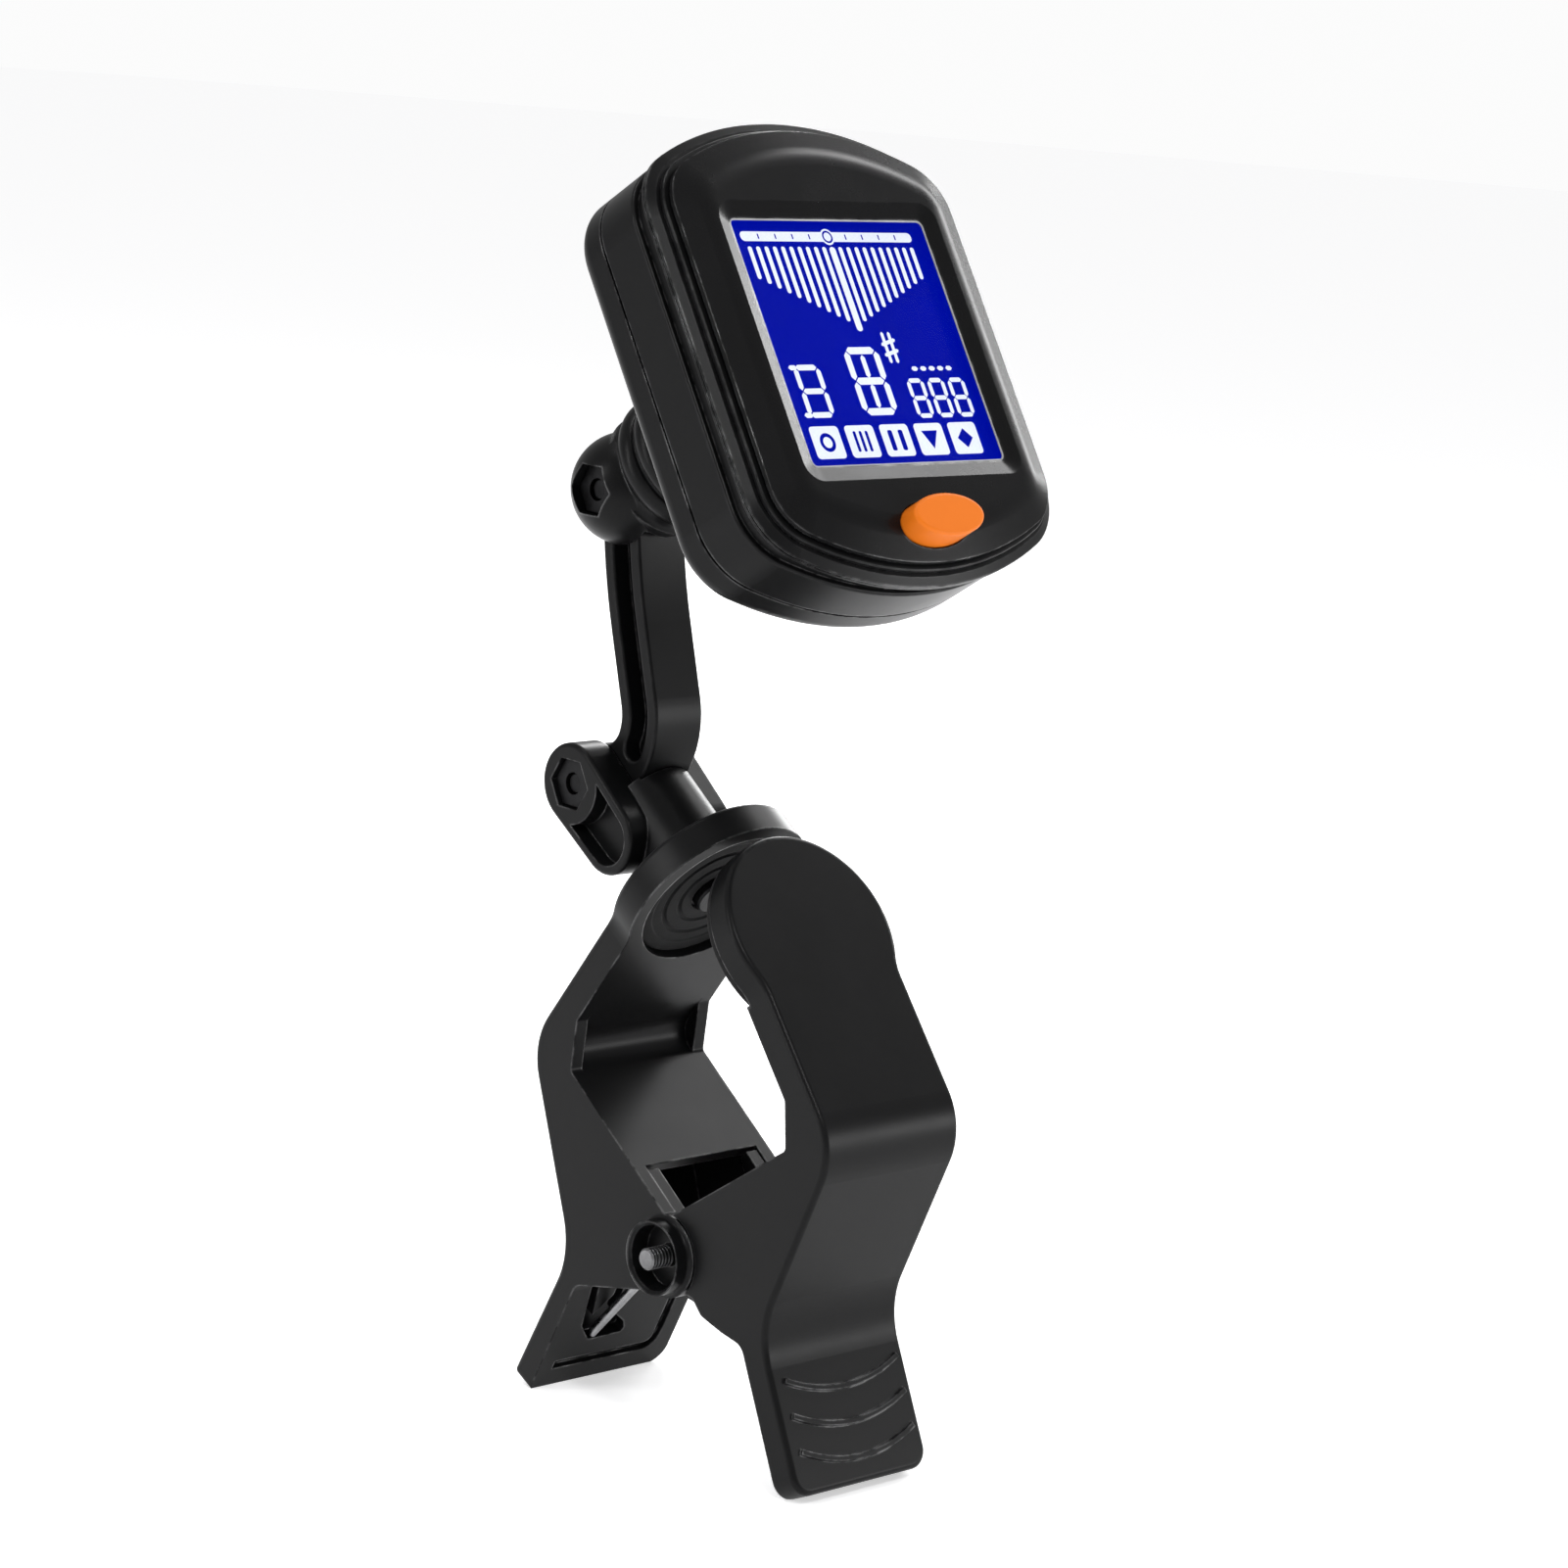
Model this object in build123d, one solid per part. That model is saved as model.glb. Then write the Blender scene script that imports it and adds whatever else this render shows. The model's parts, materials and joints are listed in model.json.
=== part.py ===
from build123d import *
import os
from math import radians, sin, cos

# Clip-on tuner: spring clip, two-hinge arm with two swivels, and a display head.
# Millimetres. X runs along the hinge pins, -Y is the side the display faces, +Z is up.
# The clip outlines are drawn as (y, z) distances from the jaw pivot.

os.makedirs("parts", exist_ok=True)

# ---------------------------------------------------------------- driving dimensions
PIVOT_Y = -2.15                   # jaw pivot in the row frame
PIVOT_Z = 21.18

CLIP_W = 19.5                     # width of both jaws
WALL = 1.6                        # side walls of the jaws
PLATE_T = 3.85                    # upper jaw plates
TIP = (23.2, -19.9)               # outer corners of a jaw's side outline
WAIST = (15.5, -4.1)
BULGE = (24.2, 17.9)
REAR_TILT, REAR_REACH = 34.9, 25.9    # lean of the upper plate, bulge to disc centre
FRONT_TILT, FRONT_REACH = 38.9, 24.6
DISC_R = 11.1
NECK_BLEND = 6.0                  # concave blend between disc and plate sides
JAW_EDGE_R = 0.6                  # soft outer edge all round a jaw
REAR_RECESS_R, REAR_RECESS_D = 9.4, 2.1
FRONT_DISC_T = 3.3
KNUCKLE_R = 4.6

BOSS_R, BOSS_X = 4.08, 11.6       # pivot boss radius and distance of its rim from centre
BOSS_BORE = 3.55                  # hollow in the pivot boss
PIN_R = 1.2                       # pivot screw shank
SPRING_R, SPRING_WIRE, SPRING_PITCH, SPRING_TURNS = 3.3, 1.1, 1.22, 4
SPRING_X = -3.05                  # where the coil starts across the clip
SPRING_TANGENT = 43.8             # angle at which the legs leave the coil

LOWER_HINGE = (23.3, 46.8)        # (y, z) from the jaw pivot
UPPER_HINGE = (23.0, 79.2)
HINGE_SCREW_R = 1.2
NUT_AF, NUT_T = 5.0, 2.0
ARM_W, ARM_T = 6.8, 5.8
CLEVIS_X = 7.5                    # outer face of each cheek
NECK_R = 5.2
YOKE_R, YOKE_X = 6.2, 2.3         # domed hinge end: radius and offset of each dome

HEAD_Y, HEAD_Z = -9.62, 99.18     # centre of the display window from the jaw pivot
HEAD_TILT = 33.3                  # head leans back from the vertical
BEZEL_W, BEZEL_H = 39.4, 49.0
SIDE_ARC, CORNER_R = 37.0, 6.0    # crown of the top and bottom edges, corner radius
SHELL_STEP = 1.6                  # rear shell stands this far outside the bezel
WINDOW_W, WINDOW_H = 27.7, 27.8
WINDOW_BEVEL = 1.8
FACE_N, BAND_N, STEP_N, PART_N, BACK_N = 0.75, -1.45, -5.2, -10.6, -15.0
RIM_STEP = 1.9                    # turned rim between bezel and rear shell
BUTTON_U, BUTTON_W, BUTTON_H = -20.7, 9.8, 4.7
SWIVEL_U = 1.2                    # head swivel axis above the window's centre
DOOR_U, DOOR_W, DOOR_H = -17.0, 23.0, 11.0


# ---------------------------------------------------------------- shared helpers
def rounded(points, radii):
    """Closed outline whose corners are rounded one by one."""
    face = make_face(Polyline(*points, close=True))
    for point, radius in zip(points, radii):
        if radius:
            corner = face.vertices().sort_by_distance(Vector(*point))[0]
            face = fillet(corner, radius)
    return face


def across(sketch, x0, x1):
    """Solid with the given (y, z) outline between two planes across the clip."""
    return extrude(Plane.YZ.offset(x0) * sketch, amount=x1 - x0)


def both_sides(sketch, x0, x1):
    """The same solid on the left and on the right."""
    return across(sketch, x0, x1) + across(sketch, -x1, -x0)


def x_pin(y, z, radius, x0, x1):
    """Round bar along X."""
    return across(Pos(y, z) * Circle(radius), x0, x1)


def hexagon(y, z, flats):
    """Hexagon with one corner pointing up-forward, as the nut pockets sit."""
    return Pos(y, z) * RegularPolygon(flats / 2, 6, major_radius=False)


def threaded_bar(radius, length, pitch=0.45, depth=0.12):
    """Round bar along +Z with thread rings over its outer 3 mm and a chamfered end."""
    bar = extrude(Circle(radius), amount=length)
    bar = chamfer(bar.edges().sort_by(Axis.Z)[-1], 0.2)
    for i in range(6):
        z = length - 0.45 - i * pitch
        ring = Rectangle(2 * depth, 0.2)
        groove = revolve(Plane.XZ * (Pos(radius, z) * ring), Axis.Z)
        bar -= groove
    return bar


def socket_screw(radius, length, head_r, head_t, socket_r=1.0):
    """Screw along +Z: head below z = 0, hex socket, thread rings near the far end."""
    head = extrude(Circle(head_r), amount=-head_t)
    head = fillet(head.edges().sort_by(Axis.Z)[0], 0.3)
    socket = Pos(0, 0, -head_t) * extrude(RegularPolygon(socket_r, 6), amount=head_t * 0.6)
    return threaded_bar(radius, length) + head - socket


def placed_clip(part):
    return Pos(0, PIVOT_Y, PIVOT_Z) * part


def disc_plane(side, tilt, reach):
    """Plane on the outer face of a jaw disc, its normal pointing out of the clip."""
    y = side * (BULGE[0] - reach * sin(radians(tilt)))
    z = BULGE[1] + reach * cos(radians(tilt))
    normal = (0, side * cos(radians(tilt)), sin(radians(tilt)))
    return Plane(origin=(0, y, z), x_dir=(-side, 0, 0), z_dir=normal)


REAR_DISC = disc_plane(1, REAR_TILT, REAR_REACH)
FRONT_DISC = disc_plane(-1, FRONT_TILT, FRONT_REACH)
HEAD = Plane(
    origin=(0, HEAD_Y, HEAD_Z),
    x_dir=(1, 0, 0),
    z_dir=(0, -cos(radians(HEAD_TILT)), sin(radians(HEAD_TILT))),
)


def placed_head(part):
    return placed_clip(HEAD * part)


# ---------------------------------------------------------------- jaws
def jaw_outline(side, tilt, reach, belly):
    """Side outline of a jaw: handle, waist, bulge, plate, knee, pivot end and lower edge."""
    s, c = sin(radians(tilt)), cos(radians(tilt))
    top = (BULGE[0] - reach * s, BULGE[1] + reach * c)
    crest = (top[0] - 15 * s, top[1] + 15 * c)
    points = [
        TIP,
        WAIST,
        BULGE,
        crest,
        (crest[0] - PLATE_T * c, crest[1] - PLATE_T * s),
        (BULGE[0] - 7.6 * s - PLATE_T * c, BULGE[1] + 7.6 * c - PLATE_T * s),
        (17.1, 16.2),
        (0.4, 4.5),
        *belly,
        (TIP[0] - 2.97, TIP[1] - 1.45),
    ]
    radii = [0, 9.0, 7.5, 0, 0, 0.5, 0.6, 0] + [0] + [1.0] * (len(belly) - 2) + [1.8, 0]
    return rounded([(side * y, z) for y, z in points], radii)


def bend_pocket(side, tilt):
    """Rounded inside of the bulge, cut between the side walls."""
    s, c = sin(radians(tilt)), cos(radians(tilt))
    points = [
        (BULGE[0] - 8.6 * s - PLATE_T * c, BULGE[1] + 8.6 * c - PLATE_T * s),
        (19.75, 17.85),
        (16.6, 15.87),
        (14.5, 17.5),
    ]
    return rounded([(side * y, z) for y, z in points], [0, 2.6, 0, 0])


def spring_room(side):
    """Hollow between the side walls: window, chamber and the space round the spring."""
    points = [
        (-9.0, 10.5),
        (4.6, 9.95),
        (6.48, 7.16),
        (20.4, 16.34),
        (12.9, -3.4),
        (12.35, -4.9),
        (13.5, -7.3),
        (12.0, -10.0),
        (-9.0, -10.0),
    ]
    return rounded([(side * y, z) for y, z in points], [0, 0, 0, 1.5, 1.0, 0, 0, 0, 0])


def plate_profile():
    """A jaw seen square to its disc: round top, blended neck, straight sides."""
    face = Circle(DISC_R) + Pos(0, -45) * Rectangle(CLIP_W, 90)
    necks = face.vertices().sort_by(Axis.Y)[2:]
    return fillet(necks, NECK_BLEND)


def outer_rim(body, side):
    """Edges round the outer faces of a jaw, from the handle's tip over the disc."""
    faces = body.faces().filter_by(lambda f: side * f.normal_at().Y > 0.6)
    edges = [edge for face in faces for edge in face.edges()]
    return [e for e in edges if sum(e.is_same(other) for other in edges) == 1]


def jaw_blank(side, tilt, reach, plane, belly, corners):
    """Jaw without its pivot details; corners are the radii at the handle's left and right."""
    inner = CLIP_W / 2 - WALL
    body = across(jaw_outline(side, tilt, reach, belly), -DISC_R - 1, DISC_R + 1)
    body &= plane * (Pos(0, 0, 8) * extrude(plate_profile(), amount=-90))
    for x_side, radius in zip((-1, 1), corners):
        tip = body.edges().filter_by(
            lambda e: x_side * e.center().X > CLIP_W / 2 - 0.01 and e.center().Z < TIP[1] - 0.3)
        body = fillet(tip, radius)
    body = fillet(outer_rim(body, side), JAW_EDGE_R)
    body -= Pos(0, 0, -PIVOT_Z) * Box(60, 80, 10, align=(Align.CENTER, Align.CENTER, Align.MAX))
    body -= across(bend_pocket(side, tilt), -inner, inner)
    return body - across(spring_room(side), -inner, inner)


def make_rear_jaw():
    half = CLIP_W / 2
    belly = [(0.4, -4.05), (13.9, -7.35)]
    jaw = jaw_blank(1, REAR_TILT, REAR_REACH, REAR_DISC, belly, (0.6, 2.5))
    jaw += both_sides(Circle(KNUCKLE_R), half - WALL, half)
    jaw -= REAR_DISC * (Pos(0, 0, -PLATE_T) * extrude(Circle(REAR_RECESS_R), amount=REAR_RECESS_D))
    jaw -= REAR_DISC * extrude(Circle(3.55), amount=-PLATE_T)
    boss = both_sides(Circle(BOSS_R), half, BOSS_X)
    jaw += boss
    rims = jaw.edges().filter_by(GeomType.CIRCLE).filter_by(
        lambda e: abs(e.radius - BOSS_R) < 0.01 and abs(e.center().X) < half + 0.1)
    jaw = fillet(rims, 0.5)
    jaw -= both_sides(Circle(BOSS_BORE), half - 0.75, BOSS_X)
    mouths = jaw.edges().filter_by(GeomType.CIRCLE).filter_by(
        lambda e: abs(e.radius - BOSS_BORE) < 0.01 and abs(e.center().X) > BOSS_X - 0.1)
    jaw = chamfer(mouths, 0.36)
    jaw -= x_pin(0, 0, PIN_R + 0.03, -half, half)
    jaw += grip_ridges(1)
    jaw -= rear_handle_cuts()
    return placed_clip(jaw)


def handle_plane():
    """Plane on the inner face of the rear handle, y axis up the handle."""
    d = Vector(0, TIP[0] - WAIST[0], TIP[1] - WAIST[1]).normalized()
    inward = Vector(0, d.Z, -d.Y)
    return Plane(origin=(0, TIP[0] - 2.97, TIP[1] - 1.45), x_dir=(1, 0, 0), z_dir=inward)


def rear_handle_cuts():
    """V pocket for the spring leg and an L groove on the rear handle's inner face."""
    vee = rounded(
        [(-7.3, 16.5), (-5.8, 8.6), (-3.9, 6.2), (1.4, 6.4), (0.6, 8.0), (-1.7, 9.8), (-1.7, 16.5)],
        [0, 0.8, 0.8, 0.5, 0.4, 0.4, 0])
    island = make_face(Polyline((-6.3, 16.6), (-4.9, 10.0), (-2.9, 12.6), (-2.9, 16.6), close=True))
    line = FilletPolyline((-7.6, 3.2), (7.0, 3.2), (7.0, 13.5), radius=1.6)
    groove = extrude(trace(line, 1.1), amount=-0.8)
    return handle_plane() * (extrude(vee, amount=-1.65) - extrude(island, amount=-1.65) + groove)


def make_front_jaw():
    half = CLIP_W / 2
    inner = half - WALL
    belly = [(0.4, -2.8), (4.9, -3.4), (6.4, -4.85), (9.6, -5.7), (12.9, -6.25)]
    jaw = jaw_blank(-1, FRONT_TILT, FRONT_REACH, FRONT_DISC, belly, (2.2, 2.2))
    jaw -= x_pin(0, 0, KNUCKLE_R + 0.25, -half, half)
    tongue = rounded(
        [(-14.5, 13.6), (-1.6, 4.3), (0, 0), (-1.2, -4.2), (-12.4, -5.6)], [0, 0, 0, 0, 0])
    tongue += Circle(4.3)
    stop = [(-1.0, 4.1), (0.5, 4.35), (5.5, 7.85), (6.2, 6.95), (5.7, 5.8), (3.2, 1.5)]
    tongue += rounded(stop, [0, 0, 0, 0.3, 0, 0])
    jaw += both_sides(tongue, inner - 1.7, inner - 0.12)
    jaw += both_sides(rounded([(-15.2, 13.9), (-6.5, 7.7), (-6.5, -4.9), (-12.2, -5.2)],
                              [0, 0, 0, 0]), inner - 1.7, inner)
    jaw -= x_pin(0, 0, PIN_R + 0.05, -half, half)
    jaw -= FRONT_DISC * (Pos(0, 0, -FRONT_DISC_T + 1.0) * extrude(Circle(9.5), amount=-3.0))
    jaw -= FRONT_DISC * (Pos(0, 0, -FRONT_DISC_T) * extrude(Circle(11.6), amount=-3.0))
    jaw += grip_ridges(-1)
    return placed_clip(jaw)


def grip_ridges(side):
    """Three curved finger ridges on a handle's outer face."""
    d = Vector(0, side * (TIP[0] - WAIST[0]), TIP[1] - WAIST[1]).normalized()
    outward = Vector(0, -side * d.Z, side * d.Y)
    plane = Plane(origin=(0, side * TIP[0], TIP[1]), x_dir=(-side, 0, 0), z_dir=outward)
    ridges = Part()
    for height in (4.6, 8.4, 12.2):
        arc = ThreePointArc((-7.9, height), (0.35, height - 1.9), (8.6, height))
        ridges += extrude(trace(arc, 0.6), amount=0.3) + extrude(trace(arc, 0.6), amount=-0.4)
    return plane * ridges


def make_front_pad():
    """Rubber pad: a plug in the disc's recess and a wider face that touches the rear disc."""
    plug = extrude(Circle(9.4), amount=-1.1)
    face = Pos(0, 0, -1.02) * extrude(Circle(10.95), amount=-0.9)
    face = fillet(face.edges().sort_by(Axis.Z)[0], 0.3)
    return placed_clip(FRONT_DISC * (Pos(0, 0, -FRONT_DISC_T + 1.0) * (plug + face)))


def make_rear_pad():
    ring = extrude(Circle(9.35) - Circle(7.5), amount=1.2)
    ring = fillet(ring.edges().filter_by(GeomType.CIRCLE).sort_by(Axis.Z)[0], 0.3)
    return placed_clip(REAR_DISC * (Pos(0, 0, -PLATE_T + REAR_RECESS_D - 1.2) * ring))


def make_jaw_screw():
    screw = socket_screw(PIN_R, 21.4, 2.4, 1.6)
    return placed_clip(Plane(origin=(9.0, 0, 0), x_dir=(0, 1, 0), z_dir=(-1, 0, 0)) * screw)


def make_spacer():
    tube = Circle(2.0) - Circle(PIN_R + 0.05)
    return placed_clip(across(tube, -6.35, 6.35))


def spring_leg(side, x, reach, drop):
    """Straight leg that leaves the top of the coil and ends on a handle."""
    angle = radians(SPRING_TANGENT)
    root = Vector(x, side * SPRING_R * cos(angle), SPRING_R * sin(angle))
    axis = Vector(x, side * reach, -drop) - root
    leg = Solid.make_cylinder(SPRING_WIRE / 2, axis.length, Plane(root, z_dir=axis))
    return Pos(root) * Sphere(SPRING_WIRE / 2 + 0.05) + leg


def make_torsion_spring():
    """Coil round the pivot, with the leg that ends in the rear handle's V pocket."""
    angle = radians(SPRING_TANGENT)
    path = Helix(SPRING_PITCH, SPRING_PITCH * SPRING_TURNS, SPRING_R)
    start = Plane(origin=path @ 0, z_dir=path % 0)
    coil = sweep(start * Circle(SPRING_WIRE / 2), path, is_frenet=True)
    turned = Plane(origin=(SPRING_X, 0, 0), x_dir=(0, cos(angle), sin(angle)), z_dir=(1, 0, 0))
    return placed_clip(turned * coil + spring_leg(1, SPRING_X, 18.1, 15.2))


def make_spring_front_leg():
    """Last turn of the spring with the leg that rests on the front handle and turns with it."""
    x = SPRING_X + SPRING_PITCH * (SPRING_TURNS + 1)
    turn = Plane(origin=(x, 0, 0), x_dir=(0, 1, 0), z_dir=(1, 0, 0)) * Torus(SPRING_R, SPRING_WIRE / 2)
    return placed_clip(turn + spring_leg(-1, x, 15.4, 13.6))


# ---------------------------------------------------------------- lower clevis
def make_clip_clevis():
    y, z = LOWER_HINGE
    toe = (y - 6.6, z - 4.7)
    cheek = make_hull((Pos(y, z) * Circle(4.5) + Pos(*toe) * Circle(4.1)).edges())
    gap = ARM_W / 2 + 0.12
    body = both_sides(cheek, gap, CLEVIS_X)
    rims = body.edges().filter_by(
        lambda e: abs(abs(e.center().X) - CLEVIS_X) < 0.01)
    body = fillet(rims, 0.5)
    neck = REAR_DISC * (Pos(0, 0, 0.1) * extrude(Circle(NECK_R), amount=11.0))
    neck -= x_pin(y, z, 5.0, -20, 20)
    neck -= across(arm_outline(0.2), -gap, gap)
    body += neck
    foot = REAR_DISC * (Pos(0, 0, 0.1) * extrude(Circle(6.3), amount=1.0))
    body += foot
    spigot = extrude(Circle(3.5), amount=-(PLATE_T - REAR_RECESS_D) - 0.26)
    body += REAR_DISC * (Pos(0, 0, 0.2) * spigot)
    body -= REAR_DISC * (Pos(0, 0, -PLATE_T) * extrude(Circle(1.25), amount=11.0))
    pocket = hexagon(y, z, NUT_AF + 0.3)
    body -= across(pocket, -CLEVIS_X, -CLEVIS_X + 2.6)
    body -= x_pin(y, z, 2.7, CLEVIS_X - 2.4, CLEVIS_X)
    body -= x_pin(y, z, HINGE_SCREW_R + 0.05, -CLEVIS_X, CLEVIS_X)
    moon = make_hull((Pos(y, z) * Circle(3.4) + Pos(*toe) * Circle(3.0)).edges())
    moon -= Pos(y, z) * Circle(4.5)
    body -= across(moon, -CLEVIS_X, -CLEVIS_X + 2.0)
    body -= across(moon, CLEVIS_X - 2.0, CLEVIS_X)
    return placed_clip(body)


def make_clip_swivel_washer():
    ring = extrude(Circle(6.6) - Circle(1.3), amount=-0.5)
    depth = PLATE_T - REAR_RECESS_D + 0.1
    return placed_clip(REAR_DISC * (Pos(0, 0, -depth) * ring))


def make_clip_swivel_screw():
    depth = PLATE_T - REAR_RECESS_D + 0.6
    screw = socket_screw(1.2, 9.0, 2.4, 1.3)
    return placed_clip(REAR_DISC * (Pos(0, 0, -depth) * screw))


def hinge_screw(y, z, half):
    """Screw along X: head on the right, threaded end in the nut on the left."""
    screw = socket_screw(HINGE_SCREW_R, 2 * half - 3.4, 2.5, 1.6)
    return placed_clip(Plane(origin=(half - 2.4, y, z), x_dir=(0, 1, 0), z_dir=(-1, 0, 0)) * screw)


def hinge_nut(y, z, face):
    nut = across(hexagon(y, z, NUT_AF), -face + 2.6 - NUT_T, -face + 2.6)
    nut = nut - x_pin(y, z, HINGE_SCREW_R + 0.03, -face, face)
    return placed_clip(nut)


# ---------------------------------------------------------------- arm
def arm_runs():
    """Centre line in three smooth runs: upper curve, straight lean, heel to the clevis."""
    upper = ThreePointArc(UPPER_HINGE, (22.0, 71.8), (20.2, 64.6))
    lean = Line(upper @ 1, upper @ 1 + (upper % 1) * 8.4)
    return upper, lean, TangentArc(lean @ 1, LOWER_HINGE, tangent=lean % 1)


def arm_outline(grow=0.0):
    """Curved blade between two round hinge ends, blended where they meet."""
    upper, lean, heel = arm_runs()
    end_r = 4.1 + grow
    ends = Pos(*UPPER_HINGE) * Circle(end_r) + Pos(*LOWER_HINGE) * Circle(end_r)
    outline = trace(upper + lean + heel, ARM_T + 2 * grow) + ends
    hinges = [Vector(*UPPER_HINGE), Vector(*LOWER_HINGE)]
    necks = [v for v in outline.vertices()
             if min((Vector(v) - hinge).length for hinge in hinges) < end_r + 0.01]
    return fillet(necks, 3.0)


def slot_outline():
    """Round-ended slot along the arm's centre line, between the hinges."""
    upper, lean, heel = arm_runs()
    top, low = upper.trim(0.41, 1.0), heel.trim(0.0, 0.42)
    return trace(top + lean + low, 2.6) + Pos(top @ 0) * Circle(1.3) + Pos(low @ 1) * Circle(1.3)


def make_arm():
    half = ARM_W / 2
    arm = across(arm_outline(), -half, half)
    arm -= across(slot_outline(), half - 2.2, half)
    arm -= across(slot_outline(), -half, -half + 2.2)
    rims = arm.edges().filter_by(lambda e: abs(abs(e.center().X) - half) < 0.01)
    arm = fillet(rims, 0.35)
    for hinge in (UPPER_HINGE, LOWER_HINGE):
        arm -= x_pin(*hinge, HINGE_SCREW_R + 0.05, -half, half)
    return placed_clip(arm)


# ---------------------------------------------------------------- upper yoke
def yoke_plane():
    """Plane at the upper hinge, z axis towards the head's back."""
    y, z = UPPER_HINGE
    return Plane(origin=(0, y, z), x_dir=(1, 0, 0), z_dir=HEAD.z_dir)


def yoke_reach():
    """Distance from the upper hinge to the head's back along the swivel axis."""
    rel = Vector(0, UPPER_HINGE[0] - HEAD_Y, UPPER_HINGE[1] - HEAD_Z)
    return -rel.dot(HEAD.z_dir) + BACK_N


def yoke_neck(reach):
    """Bell, two turned rings, neck and flange, along the swivel axis from the hinge."""
    outline = Polyline((0, -1.5), (5.6, -1.5), (7.1, 3.2))
    outline += ThreePointArc((7.1, 3.2), (6.55, 4.3), (7.1, 5.2))
    outline += ThreePointArc((7.1, 5.2), (7.75, 6.4), (7.25, 7.6))
    outline += ThreePointArc((7.25, 7.6), (6.95, 7.9), (7.25, 8.2))
    outline += ThreePointArc((7.25, 8.2), (7.8, 9.4), (7.1, 10.6))
    outline += ThreePointArc((7.1, 10.6), (6.7, 13.6), (7.3, reach - 5.6))
    outline += Polyline((7.3, reach - 5.6), (8.6, reach - 3.2), (9.4, reach - 2.4))
    outline += Polyline((9.4, reach - 2.4), (9.4, reach - 1.1), (0, reach - 1.1), (0, -1.5))
    return revolve(Plane.XZ * make_face(outline), Axis.Z)


def yoke_slot(gap):
    """Room for the arm from straight down to straight back."""
    y, z = UPPER_HINGE
    down = Pos(y + 4.7, z - 6) * Rectangle(18.6, 12)
    back = Pos(y + 7, z - 3.8) * Rectangle(14, 16.4)
    return across(down + back + Pos(y, z) * Circle(4.4), -gap, gap)


def make_head_yoke():
    y, z = UPPER_HINGE
    reach = yoke_reach()
    spigot = Cylinder(5.0, 3.7, align=(Align.CENTER, Align.CENTER, Align.MIN))
    body = yoke_neck(reach) + Pos(0, 0, reach - 1.1) * spigot
    body += Pos(-YOKE_X, 0, 0) * Sphere(YOKE_R) + Pos(YOKE_X, 0, 0) * Sphere(YOKE_R)
    body += Plane.YZ.offset(-YOKE_X) * extrude(Circle(YOKE_R), amount=2 * YOKE_X)
    body = yoke_plane() * body
    body -= yoke_slot(ARM_W / 2 + 0.12)
    body -= across(hexagon(y, z, NUT_AF + 0.3), -9, -7.3 + 2.6)
    body -= x_pin(y, z, 2.7, 7.3 - 2.4, 9)
    body -= x_pin(y, z, HINGE_SCREW_R + 0.05, -9, 9)
    body -= yoke_plane() * (Pos(0, 0, reach - 6) * extrude(Circle(1.25), amount=10))
    return placed_clip(body)


def swivel_in_head():
    """Plane on the head's back at the swivel axis."""
    return HEAD * Pos(0, SWIVEL_U, BACK_N)


def make_head_swivel_washer():
    ring = extrude(Circle(7.0) - Circle(1.3), amount=0.5)
    return placed_clip(swivel_in_head() * (Pos(0, 0, 2.65) * ring))


def make_head_swivel_screw():
    screw = socket_screw(1.2, 8.0, 2.4, 1.3)
    return placed_clip(swivel_in_head() * (Pos(0, 0, 3.2) * (Rot(180, 0, 0) * screw)))


# ---------------------------------------------------------------- head shells
def head_outline(step=0.0):
    """Rounded rectangle with crowned top and bottom edges."""
    half_w, half_h, arc = BEZEL_W / 2 + step, BEZEL_H / 2 + step, SIDE_ARC + step
    sides = Rectangle(2 * half_w, 2 * half_h + 4)
    crown = Pos(0, half_h - arc) * Circle(arc) & Pos(0, arc - half_h) * Circle(arc)
    face = sides & crown
    return fillet(face.vertices(), CORNER_R + step)


def slab(outline, n0, n1):
    return Pos(0, 0, n0) * extrude(outline, amount=n1 - n0)


def make_bezel():
    body = slab(head_outline(), BAND_N + 0.3, FACE_N)
    body = chamfer(body.edges().group_by(Axis.Z)[-1], 1.35, 3.4)
    body = fillet(body.edges().group_by(Axis.Z)[-1], 6.0)
    body += slab(head_outline(-0.4), BAND_N, BAND_N + 0.35)
    body -= slab(Rectangle(30.4, 30.4), -1.6, 0.0)
    frame = loft([
        Pos(0, 0, 0.12) * RectangleRounded(WINDOW_W, WINDOW_H, 0.8),
        Pos(0, 0, FACE_N + 0.01) * RectangleRounded(
            WINDOW_W + 2 * WINDOW_BEVEL, WINDOW_H + 2 * WINDOW_BEVEL, 2.4)])
    body -= frame
    body -= slab(RectangleRounded(WINDOW_W, WINDOW_H, 0.8), -0.5, 0.2)
    body -= slab(Pos(0, BUTTON_U) * Ellipse(BUTTON_W / 2 + 0.15, BUTTON_H / 2 + 0.15), -2, 2)
    body -= slab(Pos(0, BUTTON_U) * Ellipse(5.8, 3.0), -2.0, -0.6)
    return placed_head(body)


def head_rim():
    """Bead, flared rim with a fine line round it, and the deep groove in front of the shell."""
    bead = slab(head_outline(0.55), -2.0, BAND_N)
    bead = fillet(bead.edges().group_by(Axis.Z)[-1], 0.2)
    rim = slab(head_outline(RIM_STEP), -3.35, -2.1)
    rim = chamfer(rim.edges().group_by(Axis.Z)[-1], 0.5, 0.95)
    rim = fillet(rim.edges().group_by(Axis.Z)[0], 0.15)
    line = slab(head_outline(RIM_STEP + 1), -2.98, -2.84) - slab(head_outline(RIM_STEP - 0.2), -2.98, -2.84)
    return bead + rim - line + slab(head_outline(0.2), -2.2, -1.9) + slab(head_outline(0.9), STEP_N, -3.3)


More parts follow.
